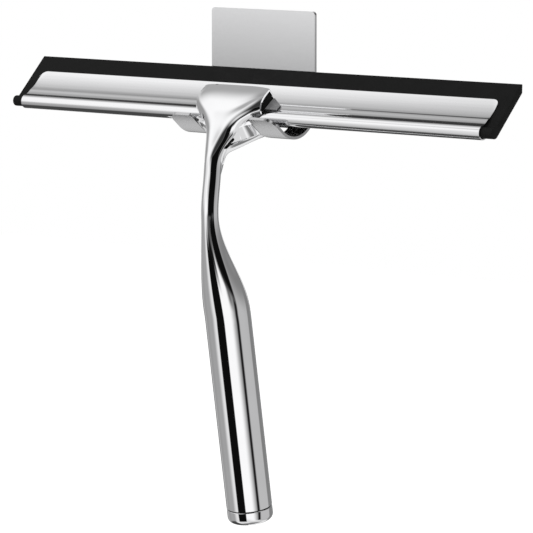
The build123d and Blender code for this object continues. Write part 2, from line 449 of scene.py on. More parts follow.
# Folded channel and rubber strip, both swept along the blade by one Geometry Nodes tree.
channel = {
    "length": 242.8,
    "shift": 5.0,  # the blade sits a little to the right of the handle
    "tubeRadius": 2.95,
    "boreRadius": 2.5,
    "tubeShift": -0.55,  # along the blade
    "sheet": 0.3,
    "reach": 15.8,
    "corner": 3.0,
    "cornerStart": 6.0,  # only the flap above this pulls in round its corners
    "stations": 110,
    "slopeSteps": 110,
    "tubeSteps": 54,
    "boreSteps": 36,
    "edge": (0.1, 2, 60),
    # how far up the blade, and the sheet's slope there in degrees
    "slopes": [
        (0.6, 22), (1.0, 36), (1.35, 34), (1.75, 24), (2.2, 17), (2.8, 12), (3.4, 8), (4.0, 5), (4.65, 6),
        (5.15, 12), (5.55, 17), (6.05, 13), (6.65, 8), (7.4, 5), (15.8, -5),
    ],
}
strip = {
    "length": 254.0,
    "shift": 5.0,
    "beadRadius": 2.25,
    "front": 0.42,
    "bevel": 2.9,
    "reach": 25.2,
    "rounding": 0.3,
    "corner": 0.0,
    "cornerStart": 6.0,
    "stations": 60,
    "beadSteps": 40,
    "edge": (0.25, 2, 60),
}


def easeBetween(knots, values):
    def at(knot):
        i = min(max(bisect.bisect_right(knots, knot) - 1, 0), len(knots) - 2)
        share = (knot - knots[i]) / (knots[i + 1] - knots[i])
        return values[i] + (values[i + 1] - values[i]) * share

    return at


def arcAround(radius, start, steps):
    # from the opening over the front and under to the back
    angles = [start + (1.5 * math.pi - start) * step / steps for step in range(steps + 1)]
    return [(channel["tubeShift"] + radius * math.cos(angle), radius * math.sin(angle)) for angle in angles]


def channelOutline():
    # front of the sheet from the tube's crease to the flap's tip, following the slopes
    places, slopes = zip(*channel["slopes"])
    slopeAt = easeBetween(places, slopes)
    radius, bore, shift = channel["tubeRadius"], channel["boreRadius"], channel["tubeShift"]
    reach, tip = places[0], places[-1]
    height = math.sqrt(radius ** 2 - (reach - shift) ** 2)
    front = [(reach, height)]
    stride = (tip - reach) / channel["slopeSteps"]
    for step in range(channel["slopeSteps"]):
        height -= math.tan(math.radians(slopeAt(reach + stride / 2))) * stride
        reach += stride
        front.append((reach, height))
    # round the tube to its back, where the sheet runs on flat
    around = arcAround(radius, math.acos((places[0] - shift) / radius), channel["tubeSteps"])
    within = [(x, y - channel["sheet"]) for x, y in front if x > bore + shift]
    hollow = arcAround(bore, math.asin(within[0][1] / bore), channel["boreSteps"])
    return front[::-1] + around[1:] + [(tip, -radius), (tip, -bore)] + hollow[::-1] + within


def stripOutline():
    bead, front, reach, rounding = strip["beadRadius"], strip["front"], strip["reach"], strip["rounding"]
    around = arcAround(bead, math.asin(front / bead), strip["beadSteps"])
    corners = [around[0], (reach, front), (reach - strip["bevel"], -bead), around[-1]]
    outline = [tuple(point) for point in roundCorners(corners, [0, rounding, rounding, 0], 4)]
    return outline[:-1] + around[:0:-1]


class Growth(Nodes):
    # a Geometry Nodes tree with named inputs, which ends in real faces and their material
    def __init__(self, name, start, sizes):
        super().__init__(bpy.data.node_groups.new(name, "GeometryNodeTree"))
        sockets = self.tree.interface
        for label, kind in {start: "Geometry", **sizes, "Material": "Material"}.items():
            sockets.new_socket(label, in_out="INPUT", socket_type="NodeSocket" + kind)
        sockets.new_socket("Geometry", in_out="OUTPUT", socket_type="NodeSocketGeometry")
        self.source = self.node("NodeGroupInput").outputs
        self.result = self.node("NodeGroupOutput").inputs

    def complete(self, shape):
        real = self.out("GeometryNodeRealizeInstances", {0: shape})
        inputs = {"Geometry": real, "Material": self.source["Material"]}
        self.plug(self.out("GeometryNodeSetMaterial", inputs), self.result["Geometry"])
        return self.tree


def sweepTree():
    # the object's own curve is the profile: x up the blade, y off its front
    sizes = dict.fromkeys(("Length", "Shift", "Reach", "Corner Radius", "Corner Start"), "Float")
    growth = Growth("bladeSweep", "Profile", {**sizes, "Stations": "Int"})
    size, out, calc = growth.source, growth.out, growth.calc

    def store(name, kind, shape, value):
        inputs = {"Geometry": shape, "Name": name, "Value": value}
        return out("GeometryNodeStoreNamedAttribute", inputs, data_type=kind, domain="POINT")

    def read(name, kind):
        return out("GeometryNodeInputNamedAttribute", {"Name": name}, data_type=kind)

    # a line along the blade, with its stations crowded towards both ends for the round corners
    line = out("GeometryNodeCurvePrimitiveLine", {"End": (1, 0, 0)})
    stations = out("GeometryNodeResampleCurve", {"Curve": line, "Count": size["Stations"]})
    path = store("along", "FLOAT", stations, out("GeometryNodeSplineParameter"))
    profile = store("flat", "FLOAT_VECTOR", size["Profile"], out("GeometryNodeInputPosition"))
    sweep = out("GeometryNodeCurveToMesh", {"Curve": path, "Profile Curve": profile, "Fill Caps": True})

    place = growth.node("ShaderNodeSeparateXYZ", {0: read("flat", "FLOAT_VECTOR")}).outputs
    half = calc("MULTIPLY", size["Length"], 0.5)
    turn = calc("MULTIPLY_ADD", read("along", "FLOAT"), math.pi, -math.pi / 2)
    x = calc("MULTIPLY", half, calc("SINE", turn))
    # the flap pulls in round its corner
    corner, start = size["Corner Radius"], size["Corner Start"]
    beyond = calc("MAXIMUM", calc("SUBTRACT", calc("ABSOLUTE", x), calc("SUBTRACT", half, corner)), 0.0)
    square = calc("SUBTRACT", calc("POWER", corner, 2.0), calc("POWER", beyond, 2.0))
    pull = calc("SUBTRACT", corner, calc("SQRT", calc("MAXIMUM", square, 0.0)))
    flap = calc("SUBTRACT", size["Reach"], start)
    kept = calc("DIVIDE", calc("SUBTRACT", flap, pull), flap)
    over = calc("MAXIMUM", calc("SUBTRACT", place["X"], start), 0.0)
    reach = calc("SUBTRACT", place["X"], calc("MULTIPLY", over, calc("SUBTRACT", 1.0, kept)))
    moves = [(alongX, calc("ADD", x, size["Shift"])), (upBlade, reach), (offFlap, place["Y"])]
    position = tuple(tubeAxis)
    for direction, amount in moves:
        push = out("ShaderNodeVectorMath", {0: tuple(direction), "Scale": amount}, operation="SCALE")
        position = out("ShaderNodeVectorMath", {0: position, 1: push}, operation="ADD")
    shape = out("GeometryNodeSetPosition", {"Geometry": sweep, "Position": position})
    for name in ("along", "flat"):
        shape = out("GeometryNodeRemoveAttribute", {"Geometry": shape, "Name": name})
    return growth.complete(shape)


def grow(piece, tree, values):
    # inputs are set by their identifiers, then the tree's result becomes a plain mesh
    modifier = piece.modifiers.new("grow", "NODES")
    modifier.node_group = tree
    for item in tree.interface.items_tree:
        if item.in_out == "INPUT" and item.name in values:
            modifier[item.identifier] = values[item.name]
    bpy.context.view_layer.update()
    mesh = bpy.data.meshes.new_from_object(piece.evaluated_get(bpy.context.evaluated_depsgraph_get()))
    piece.modifiers.clear()
    shell = bmesh.new()
    shell.from_mesh(mesh)
    bmesh.ops.remove_doubles(shell, verts=shell.verts, dist=0.0005)
    bmesh.ops.recalc_face_normals(shell, faces=shell.faces)
    bpy.data.meshes.remove(mesh)
    return shell


def sweepBlade(name, outline, sizes, finish):
    profile = bpy.data.curves.new(name + "Profile", "CURVE")
    profile.dimensions = "3D"
    spline = profile.splines.new("POLY")
    spline.points.add(len(outline) - 1)
    for point, (reach, height) in zip(spline.points, outline):
        point.co = (reach, height, 0, 1)
    spline.use_cyclic_u = True
    source = bpy.data.objects.new(name + "Profile", profile)
    bpy.context.collection.objects.link(source)
    shell = grow(source, bladeTree, {
        "Length": sizes["length"],
        "Shift": sizes["shift"],
        "Reach": sizes["reach"],
        "Corner Radius": sizes["corner"],
        "Corner Start": sizes["cornerStart"],
        "Stations": sizes["stations"],
        "Material": finish,
    })
    bpy.data.objects.remove(source)
    bpy.data.curves.remove(profile)
    piece = draw(name, shell)
    bevel(piece, *sizes["edge"])
    return piece


bladeTree = sweepTree()
channelPiece = sweepBlade("channel", channelOutline(), channel, material["polishedSheet"])
dress(channelPiece, "blade_channel", "squeegee", material["polishedSheet"], 30)
stripPiece = sweepBlade("rubberStrip", stripOutline(), strip, material["blackRubber"])
dress(stripPiece, "rubber_blade", "strip", material["blackRubber"], 30)


# Handle: grip, neck and hood in one skin, with the tongue that rests on the hook behind it.
handle = {
    "gripRadius": 9.45,
    "gripLength": 80.0,
    "gripTop": (4.15, -84.0),  # forward and up from the tube's axis
    "gripLean": 9.5,
    "neckRadius": 3.5,
    "neckPoints": [(14.2, -24.0), (15.7, -37.0), (10.2, -63.7)],
    "forkLean": 6.0,
    "forkTurn": 0.3,  # how fast the lean grows above the fork
    "swell": (0.26, 0.93),  # share of the neck, from the fork down, over which it thickens
    "gripSteps": 16,
    "neckSteps": 90,
    # forward, up, lean back, half width, half depth, squareness
    "hood": [
        (12.9, -16.0, 8.0, 3.9, 3.7, 2.0),
        (10.2, -10.8, 14.0, 5.6, 4.3, 2.3),
        (7.0, -6.3, 19.0, 8.0, 5.2, 3.0),
        (3.8, -2.1, 26.0, 13.2, 6.4, 3.8),
        (0.6, 0.45, 42.0, 19.3, 7.8, 4.6),
        (-5.37, 7.07, 45.0, 22.0, 6.6, 4.6),
        (-7.0, 8.9, 45.0, 22.3, 6.0, 4.6),
    ],
    # forward, up, lean back, half width, depth below the crease, crown above it
    "tongue": [
        (13.4, -26.0, 4.0, 2.4, 2.2, 1.0),
        (12.0, -20.0, 14.0, 3.1, 2.9, 0.9),
        (8.6, -12.6, 38.0, 3.6, 4.6, 0.3),
        (5.0, -9.9, 55.0, 8.0, 5.0, 0.2),
        (1.6, -6.9, 66.0, 14.5, 5.2, 0.2),
        (-5.0, -4.0, 75.0, 19.0, 5.7, 0.3),
    ],
    # front wall of the tongue at each side: distance from the middle, its top, its foot on the crease
    "wall": [
        (3.6, (8.5, -10.6), (8.1, -11.4)),
        (5.5, (8.2, -7.6), (7.02, -10.66)),
        (8.0, (7.8, -5.1), (5.61, -9.69)),
        (11.5, (7.4, -3.5), (3.63, -8.32)),
        (14.9, (7.2, -2.75), (1.7, -7.0)),
    ],
    "wallShoulder": (0.8, 1.5),  # back and up from the wall's top
    "wallBack": (3.0, 2.0),
    "forkRoot": 0.27,  # how far up the hood the gap behind it starts
    "gapEnd": 0.7,
    "gapDepth": 9.0,
    "gapLeast": 0.2,
    "gapFront": (-0.3, 0.05),
    "headWidth": 34.0,
    "headReach": 9.2,
    "headCorner": 0.4,
    "roomTube": 3.55,  # room for the channel with its liner in front and its pad behind
    "roomFront": 3.3,
    "roomBack": 3.65,
    "roomReach": 40.0,
    "pocketStart": 0.5,
    "pocketWall": 0.7,
    "pocketFoot": -3.0,
    "pocketHeight": 30.0,
    "prongClearance": 0.3,
    "seatGap": 0.05,
    "screwSpacing": 17.0,
    "screwReach": 5.2,
    "screwHole": 2.05,
    "screwRun": (-2.0, -40.0),  # heights between which the hole is cut
    "gripWall": 1.3,
    "boreDepth": 68.0,
    "shortest": 0.06,  # edges below this are merged before the bevel
    "edge": (0.3, 3, 45),
    "around": 96,
}


def crossRing(place, lean, halfWidth, halfDepth, squareness=2.0):
    # an oval across the handle, whose sides get blunter as its squareness rises above 2
    lean = math.radians(lean)
    back = Vector((0, math.cos(lean), -math.sin(lean)))
    ring = []
    for step in range(handle["around"]):
        quarters = 4 * step / handle["around"]
        crown = 1 if quarters < 2 else 3
        off = quarters - crown  # points are spread evenly over the flatter back and front
        angle = math.pi / 2 * (crown + math.copysign(abs(off) ** (squareness / 2), off))
        side = math.copysign(abs(math.cos(angle)) ** (2 / squareness), math.cos(angle))
        ring.append(place + alongX * halfWidth * side + back * halfDepth * math.sin(angle))
    return ring


def onGrip(drop):
    # on the grip's axis, down from its top
    lean = math.radians(handle["gripLean"])
    forward, up = handle["gripTop"]
    return spot(forward - drop * math.sin(lean), up - drop * math.cos(lean))


def distances(points):
    run = [0.0]
    for start, end in zip(points, points[1:]):
        run.append(run[-1] + math.dist(start, end))
    return run


def neckRings():
    # from the grip's end up to the fork
    lean = math.radians(handle["gripLean"])
    points = [handle["gripTop"]] + handle["neckPoints"][::-1]
    run = distances(points)
    forkLean = math.radians(handle["forkLean"])
    forwards, ups = zip(*points)
    forward = smoothLine(run, forwards, math.sin(lean), -math.sin(forkLean))
    up = smoothLine(run, ups, math.cos(lean), math.cos(forkLean))
    rings = []
    grip, steps = handle["gripRadius"], handle["gripSteps"]
    for step in range(steps + 1):
        place = onGrip(handle["gripLength"] * (1 - step / steps))
        rings.append(crossRing(place, -handle["gripLean"], grip, grip))
    low, high = handle["swell"]
    near, steps = 0.05, handle["neckSteps"]
    for step in range(1, steps + 1):
        knot = run[-1] * step / steps
        ahead, behind = knot + near, knot - near
        tilt = math.degrees(math.atan2(forward(ahead) - forward(behind), up(ahead) - up(behind)))
        share = min(max((1 - step / steps - low) / (high - low), 0), 1)
        radius = handle["neckRadius"]
        radius += (grip - radius) * share * share * (3 - 2 * share)
        rings.append(crossRing(spot(forward(knot), up(knot)), -tilt, radius, radius))
    return rings


def throughCuts(cuts, startSlopes=None):
    # a smooth line for each column of the cuts, and the length they run
    run = distances([cut[:2] for cut in cuts])
    lines = []
    for column, values in enumerate(zip(*cuts)):
        lines.append(smoothLine(run, values, startSlopes[column] if startSlopes else None))
    return lines, run[-1]


def hoodCuts(steps=60):
    # share of the way from the fork to the rim, with the cut there
    neck, lean = handle["neckRadius"], math.radians(handle["forkLean"])
    fork = (*handle["neckPoints"][0], handle["forkLean"], neck, neck, 2.0)
    slopes = (-math.sin(lean), math.cos(lean), handle["forkTurn"], 0, 0, 0)
    lines, length = throughCuts([fork] + handle["hood"], slopes)
    return [(step / steps, *[line(length * step / steps) for line in lines]) for step in range(1, steps + 1)]


def hoodRings(start=0.0, wall=0.0):
    rings = []
    for share, forward, up, lean, halfWidth, halfDepth, squareness in hoodCuts():
        if share >= start:
            rings.append(crossRing(spot(forward, up), lean, halfWidth - wall, halfDepth - wall, squareness))
    return rings


def gapRings(inset=0.0, spread=1.5, extra=1.0):
    # the open space between the hood and the tongue
    root, end, least = handle["forkRoot"], handle["gapEnd"], handle["gapLeast"]
    rings = []
    for share, forward, up, lean, halfWidth, halfDepth, squareness in hoodCuts():
        if root <= share <= end:
            risen = (share - root) / (end - root)
            half = least + handle["gapDepth"] * math.sqrt(risen) / 2
            low, high = handle["gapFront"]
            shift = half + (low + (high - low) * risen) * halfDepth
            angle = math.radians(lean)
            middle = spot(forward - shift * math.cos(angle), up - shift * math.sin(angle))
            if half > inset + least:
                rings.append(crossRing(middle, lean, halfWidth * spread + extra, half - inset))
    return rings


def tongueRings(steps=50):
    lines, length = throughCuts(handle["tongue"])
    rings = []
    for step in range(steps + 1):
        forward, up, lean, halfWidth, below, crown = [line(length * step / steps) for line in lines]
        lean = math.radians(lean)
        back = Vector((0, math.cos(lean), -math.sin(lean)))
        ring = []
        for turn in range(handle["around"]):
            angle = math.tau * turn / handle["around"]
            depth = below * math.sin(angle) if angle < math.pi else -crown * math.sin(angle) ** 2
            ring.append(spot(forward, up) + alongX * halfWidth * math.cos(angle) + back * depth)
        rings.append(ring)
    return rings


def wallRings(side, steps=30):
    # thin slices square to the blade, from the fork out to the prong
    rows = [(x, *top, *foot) for x, top, foot in handle["wall"]]
    lines = [smoothLine([row[0] for row in rows], column) for column in list(zip(*rows))[1:]]
    start, end = rows[0][0], rows[-1][0]
    rings = []
    for step in range(steps + 1):
        x = start + (end - start) * step / steps
        topForward, topUp, footForward, footUp = [line(x) for line in lines]
        outline = [(topForward, topUp), (footForward, footUp), (footForward - handle["wallBack"][0], footUp)]
        for back, rise in (handle["wallBack"], handle["wallShoulder"]):
            outline.append((topForward - back, topUp + rise))
        rings.append([spot(forward, up) + alongX * x * side for forward, up in outline])
    return rings


def channelRoom(steps=24):
    tube, front, back = handle["roomTube"], handle["roomFront"], handle["roomBack"]
    end = handle["roomReach"]
    outline = [(end, -back), (end, front)]
    start = math.asin(front / tube)
    for step in range(steps + 1):
        angle = start + (1.5 * math.pi - start) * step / steps
        outline.append((tube * math.cos(angle), tube * math.sin(angle)))
    outline.append((0, -back))
    return acrossHead(outline)


def headPocket(gap=0.0):
    # the hollow under the hood that the dark block fills
    piece = draw("pocket", skin(hoodRings(handle["pocketStart"], handle["pocketWall"] + gap)))
    low, high = handle["pocketFoot"] + gap, handle["headReach"] - handle["pocketWall"] - gap
    top = handle["pocketHeight"]
    carve(piece, acrossHead([(low, 0), (high, 0), (high, top), (low, top)]), "INTERSECT")
    return lifted(piece)


def prongRoom(side):
    # the head stays above the prongs
    line = hookLine(0, handle["seatGap"])
    line += [(line[-1][0], -far), (far, -far), (far, line[0][1])]
    start = hook["slotWidth"] / 2 - handle["prongClearance"]
    return prism([spot(-back, up) + alongX * side * start for back, up in line], alongX * side * aside)


def screwHole(x, steps=32):
    radius, reach = handle["screwHole"], handle["screwReach"]
    angles = [math.tau * step / steps for step in range(steps)]
    ring = [(x + radius * math.cos(angle), reach + radius * math.sin(angle)) for angle in angles]
    return skin([[onBlade(*place, height) for place in ring] for height in handle["screwRun"]])


def gripBore():
    radius = handle["gripRadius"] - handle["gripWall"]
    drops = (handle["gripLength"] + 1, handle["gripLength"] - handle["boreDepth"])
    return skin([crossRing(onGrip(drop), -handle["gripLean"], radius, radius) for drop in drops])


def headFace():
    half, end, corner = handle["headWidth"] / 2, handle["headReach"], handle["headCorner"]
    outline = roundCorners([(half, -far), (half, end), (-half, end), (-half, -far)], [0, corner, corner, 0])
    return prism([onBlade(x, reach, -far) for x, reach in outline], offFlap * 2 * far)


def makeHandle():
    piece = draw("handle", skin(neckRings() + hoodRings()))
    carve(piece, skin(gapRings()))
    carve(piece, skin(tongueRings()), "UNION")
    for side in (-1, 1):
        carve(piece, skin(wallRings(side)), "UNION")
    carve(piece, channelRoom())
    carve(piece, headFace(), "INTERSECT")
    carve(piece, headPocket())
    for side in (-1, 1):
        carve(piece, prongRoom(side))
        carve(piece, screwHole(side * handle["screwSpacing"] / 2))
    carve(piece, gripBore())
    tidyEdges(piece, handle["shortest"])
    bevel(piece, *handle["edge"])
    return piece


dress(makeHandle(), "handle_shell", "squeegee", material["mirrorChrome"], None)


# Clamp inside the head: the dark block under the hood, the grey liner, the pad and its two screws.
clamp = {
    "blockRecess": 0.3,
    "blockGap": 0.12,
    "forkGap": 0.3,  # the block's dark fill between hood and tongue, painted shade put in the gap where there is only shade
    "forkRecess": 0.5,
    "tubeWrap": (70, 170),  # degrees round the tube that the block follows
    "blockLow": 0.8,
    "blockEdge": 0.2,
    "shortest": 0.05,
    "linerLeft": -20.0,
    "linerRight": 22.4,
    "linerFoot": 1.7,
    "linerTop": 8.4,
    "linerSlant": 5.0,
    "linerShoulder": 3.2,
    "linerThick": 0.7,
    "linerSeat": ((1.7, 2.1), (8.4, 1.1)),  # reach and height of its back at its foot and its top
    "linerEdge": 0.12,
    "padLength": 26.0,
    "padFoot": 2.9,
    "padTop": 8.3,
    "padBack": 3.45,
    "padGap": 0.03,
    "padCorner": 1.0,
    "padEdge": 0.15,
    "screwRadius": 2.0,
    "screwLength": 3.6,
    "screwGap": 0.05,
    "screwEdge": 0.12,
    "socketRadius": 1.15,
    "socketDepth": 1.8,
}


def linerBack(reach):
    (low, lowHeight), (high, highHeight) = clamp["linerSeat"]
    return lowHeight + (highHeight - lowHeight) * (reach - low) / (high - low)


def makeLiner():
    left, right, slant = clamp["linerLeft"], clamp["linerRight"], clamp["linerSlant"]
    foot, top = clamp["linerFoot"], clamp["linerTop"]
    shoulder = foot + clamp["linerShoulder"]
    outline = [(left, foot), (right, foot), (right, shoulder), (right - slant, top), (left, top)]
    rings = []
    for lift in (0, clamp["linerThick"]):
        rings.append([onBlade(x, reach, linerBack(reach) + lift) for x, reach in outline])
    piece = draw("frontLiner", skin(rings))
    bevel(piece, clamp["linerEdge"])
    return piece


def makeBlock(steps=8):
    gap = clamp["blockGap"]
    piece = draw("clampBlock", headPocket(gap))
    half = handle["headWidth"] / 2 - clamp["blockRecess"]
    box = [(-aside, -aside), (aside, -aside), (aside, aside), (-aside, aside)]
    carve(piece, acrossHead(box, half), "INTERSECT")
    # what lies under it: the liner, the flaps and the tube
    lift = clamp["linerThick"] + gap
    deep, low, high = -5, clamp["blockLow"], handle["pocketHeight"]
    under = [(deep, deep), (high, deep), (high, linerBack(high) + lift), (low, linerBack(low) + lift)]
    tube = channel["tubeRadius"] + gap
    first, last = clamp["tubeWrap"]
    for step in range(steps + 1):
        angle = math.radians(first + (last - first) * step / steps)
        under.append((tube * math.cos(angle), tube * math.sin(angle)))
    carve(piece, acrossHead(under))
    # painted shade: dark plastic fills the open gap between hood and tongue, where there is only shade
    shadeFill = draw("shadeFill", skin(gapRings(clamp["forkGap"], 1.0, -clamp["forkRecess"])))
    for shell in (skin(tongueRings()), skin(wallRings(-1)), skin(wallRings(1)), channelRoom()):
        carve(shadeFill, shell)
    carve(piece, lifted(shadeFill), "UNION")
    tidyEdges(piece, clamp["shortest"])
    bevel(piece, clamp["blockEdge"])
    return piece


def makeBackPad():
    half = clamp["padLength"] / 2
    low, high = clamp["padFoot"], clamp["padTop"]
    corners = [(-half, low), (half, low), (half, high), (-half, high)]
    outline = roundCorners(corners, [clamp["padCorner"]] * 4)
    heights = (-channel["tubeRadius"] - clamp["padGap"], -clamp["padBack"])
    piece = draw("backPad", skin([[onBlade(x, reach, height) for x, reach in outline] for height in heights]))
    bevel(piece, clamp["padEdge"])
    return piece


def screwTree():
    # a socket screw on each point, its axis square to the flaps
    sizes = ("Radius", "Length", "Depth", "Socket Radius", "Socket Depth")
    growth = Growth("setScrews", "Points", dict.fromkeys(sizes, "Float"))
    size, out, calc = growth.source, growth.out, growth.calc

    def bar(sides, radius, depth, middle):
        shape = out("GeometryNodeMeshCylinder", {"Vertices": sides, "Radius": radius, "Depth": depth})
        lift = out("ShaderNodeCombineXYZ", {"Z": middle})
        return out("GeometryNodeTransform", {"Geometry": shape, "Translation": lift})

    half = calc("MULTIPLY", size["Length"], 0.5)
    foot = calc("MULTIPLY", calc("ADD", size["Depth"], size["Length"]), -1.0)
    shank = bar(40, size["Radius"], size["Length"], calc("ADD", foot, half))
    socket = bar(6, size["Socket Radius"], calc("MULTIPLY", size["Socket Depth"], 2.0), foot)
    cut = out("GeometryNodeMeshBoolean", {"Mesh 1": shank, "Mesh 2": socket}, solver="EXACT")
    spots = {"Points": size["Points"], "Instance": cut, "Rotation": (bladeLean, 0, 0)}
    return growth.complete(out("GeometryNodeInstanceOnPoints", spots))


def makeScrews():
    points = bmesh.new()
    for side in (-1, 1):
        points.verts.new(onBlade(side * handle["screwSpacing"] / 2, handle["screwReach"], 0))
    row = draw("screwPoints", points)
    shell = grow(row, screwTree(), {
        "Radius": clamp["screwRadius"],
        "Length": clamp["screwLength"],
        "Depth": clamp["padBack"] + clamp["screwGap"],
        "Socket Radius": clamp["socketRadius"],
        "Socket Depth": clamp["socketDepth"],
        "Material": material["screwSteel"],
    })
    bpy.data.objects.remove(row)
    piece = draw("setScrews", shell)
    bevel(piece, clamp["screwEdge"])
    return piece


dress(makeScrews(), "set_screws", "squeegee", material["screwSteel"], None)
dress(makeLiner(), "front_liner", "squeegee", material["greyPlastic"], None)
dress(makeBlock(), "clamp_block", "squeegee", material["darkPlastic"])
dress(makeBackPad(), "back_pad", "squeegee", material["greyPlastic"], None)

# End of the grip: plug, seal ring and cap.
gripEnd = {
    "seal": 0.5,
    "sealInset": 0.35,
    "sealEdge": 0.12,
    "capHeight": 5.8,
    "capRound": 2.4,
    "capDish": 0.25,
    "capEdges": (0.5, 0.3, 0.25),  # the stub's end, its root and the rim under the seal
    "plugLength": 14.0,
    "plugEdge": 0.4,
    "stubRadius": 4.0,
    "stubLength": 9.0,
    "clearance": 0.05,
}


def gripPlace(radius, angle, drop):
    # round the grip's axis, down from its end
    lean = math.radians(handle["gripLean"])
    back = Vector((0, math.cos(lean), math.sin(lean)))
    place = onGrip(handle["gripLength"] + drop)
    return place + alongX * radius * math.cos(angle) + back * radius * math.sin(angle)


def lathe(profile, around=96):
    shell = bmesh.new()
    loops = []
    for step in range(around):
        angle = math.tau * step / around
        loops.append([shell.verts.new(gripPlace(radius, angle, drop)) for radius, drop in profile])
    for i in range(around):
        for j in range(len(profile)):
            shell.faces.new((loops[i - 1][j - 1], loops[i - 1][j], loops[i][j], loops[i][j - 1]))
    bmesh.ops.remove_doubles(shell, verts=shell.verts, dist=0.001)
    bmesh.ops.recalc_face_normals(shell, faces=shell.faces)
    return shell


def roundedRing(inner, outer, top, bottom, edge):
    corners = [(inner, top), (outer, top), (outer, bottom), (inner, bottom)]
    return [tuple(point) for point in roundCorners(corners, [edge] * 4, 3)]


def capProfile(steps=6):
    stub, radius, top = gripEnd["stubRadius"], handle["gripRadius"], gripEnd["seal"]
    tip, foot = top - gripEnd["stubLength"], top + gripEnd["capHeight"]
    corners = [(0, tip), (stub, tip), (stub, top), (radius, top), (radius, foot), (0, foot)]
    radii = [0, *gripEnd["capEdges"], gripEnd["capRound"], 0]
    outline = [tuple(point) for point in roundCorners(corners, radii)][:-1]
    # the foot is dished a little towards its middle
    flat = radius - gripEnd["capRound"]
    for step in range(1, steps + 1):
        share = step / steps
        outline.append((flat * (1 - share), foot - gripEnd["capDish"] * share ** 2))
    return outline


bore = handle["gripRadius"] - handle["gripWall"] - gripEnd["clearance"]
stubHole = gripEnd["stubRadius"] + gripEnd["clearance"]
plugRing = roundedRing(stubHole, bore, -gripEnd["plugLength"], 0, gripEnd["plugEdge"])
dress(draw("capPlug", lathe(plugRing)), "cap_plug", "squeegee", material["darkPlastic"])
sealOuter = handle["gripRadius"] - gripEnd["sealInset"]
sealRing = roundedRing(stubHole, sealOuter, 0, gripEnd["seal"], gripEnd["sealEdge"])
dress(draw("capSeal", lathe(sealRing)), "cap_seal", "squeegee", material["blackRubber"])
capPiece = draw("endCap", lathe(capProfile()))
dress(capPiece, "end_cap", "squeegee", material["mirrorChrome"])


# Camera, floor, lamps and the tent that the chrome mirrors.
camera = {"place": (1.02637, -1.23047, 0.10856), "yaw": 39.828, "pitch": 6.951, "lens": 263.67, "sensor": 36}
studio = {
    "ambient": 0.55,
    "floorGrey": 0.86,
    "floorRough": 0.9,
    "floorDrop": 0.36,
    "floorReach": 3.0,
    "floorGlow": 0.62,
    "lamps": [
        {"name": "key", "place": (-0.5, -1.3, 1.1), "size": 1.2, "power": 7.0},
        {"name": "fill", "place": (1.4, -0.5, 0.5), "size": 1.0, "power": 12.0},
    ],
    # small cards under the prongs, which bounce light up into the hook and the tongue
    "bounce": [{"name": "bounceRight", "x": (-3, 19)}, {"name": "bounceLeft", "x": (-50, -24)}],
    "bounceY": (-22.5, 2),
    "bounceZ": -43,
    "bounceGrey": (0.85, 0.5),
    "tentRadius": 2.5,
    # cards in the white tent: turn from the camera to the right and height, in degrees, grey, soft edges
    "cards": [
        ("ceiling", (-200, 200), (58, 120), 0.34, (1, 14)),
        ("backTop", (-200, -128), (22, 120), 0.4, (18, 10)),
        ("backDarkLeft", (-200, -157), (12, 60), 0.04, (7, 8)),
        ("backDarkRight", (157, 200), (12, 60), 0.04, (7, 8)),
        ("backLeft", (-200, -150), (-42, -4), 0.12, (8, 6)),
        ("backRight", (150, 200), (-42, -4), 0.12, (8, 6)),
        ("leftWall", (-150, -100), (-38, 20), 0.33, (16, 7)),
        ("leftLow", (-116, -58), (-38, -1), 0.36, (12, 9)),
        ("leftLight", (-80, -45), (-38, 12), 0.78, (11, 6)),
        ("leftGlow", (-69, -45), (-13, 14), 1.0, (7, 5)),
        ("leftHigh", (-88, -60), (34, 75), 0.42, (8, 8)),
        ("leftFloor", (-200, -86), (-80, -34), 0.06, (6, 5)),
        ("frontTop", (-48, 150), (8, 100), 0.04, (15, 10)),
        ("rimLight", (15, 80), (36, 72), 1.0, (8, 8)),
        ("front", (-29, 59), (-11.5, 14), 0.004, (8, 2)),
        ("frontLeft", (-41, -5), (-18, -10), 0.004, (6, 4)),
        ("frontRight", (24, 58), (-18, -8), 0.004, (8, 5)),
        ("lowFront", (-70, 130), (-62, -33), 0.72, (14, 3)),
        ("table", (0, 130), (-95, -58), 0.3, (14, 7)),
        ("below", (-200, 200), (-120, -68), 0.2, (1, 6)),
        ("leftFlag", (-61, -18), (-40, -13), 0.004, (2, 3)),
        ("rightFade", (31, 66), (-31, -10), 0.3, (16, 3)),
        ("rightFlag", (44, 57), (-31, -10), 0.01, (4, 3)),
        ("rightWall", (59, 150), (-40, 12), 0.22, (2, 6)),
        ("rightLight", (59, 116), (-40, -3), 0.5, (3, 10)),
    ],
}
white = (1, 1, 1, 1)


def makeCamera():
    data = bpy.data.cameras.new("camera")
    data.sensor_width = camera["sensor"]
    data.lens = camera["lens"]
    stand = bpy.data.objects.new("camera", data)
    stand.location = camera["place"]
    stand.rotation_euler = (math.radians(90 - camera["pitch"]), 0, math.radians(camera["yaw"]))
    bpy.context.collection.objects.link(stand)
    bpy.context.scene.camera = stand


def whiteWhereSeen(nodes, plain, bright, end):
    # bright to the camera, in mirrors and through glass, the plain shader for all other light
    path = nodes.node("ShaderNodeLightPath").outputs
    seen = path["Is Camera Ray"]
    for ray in ("Is Glossy Ray", "Is Transmission Ray"):
        seen = nodes.calc("MAXIMUM", seen, path[ray])
    mix = nodes.out("ShaderNodeMixShader", {"Fac": seen, 1: plain, 2: bright})
    nodes.plug(mix, nodes.tree.nodes[end].inputs["Surface"])


def makeWorld():
    world = bpy.data.worlds.new("studio")
    bpy.context.scene.world = world
    world.use_nodes = True
    nodes = Nodes(world.node_tree)
    ambient = nodes.tree.nodes["Background"]
    ambient.inputs["Color"].default_value = white
    ambient.inputs["Strength"].default_value = studio["ambient"]
    bright = nodes.out("ShaderNodeBackground", {"Color": white})
    whiteWhereSeen(nodes, ambient.outputs[0], bright, "World Output")


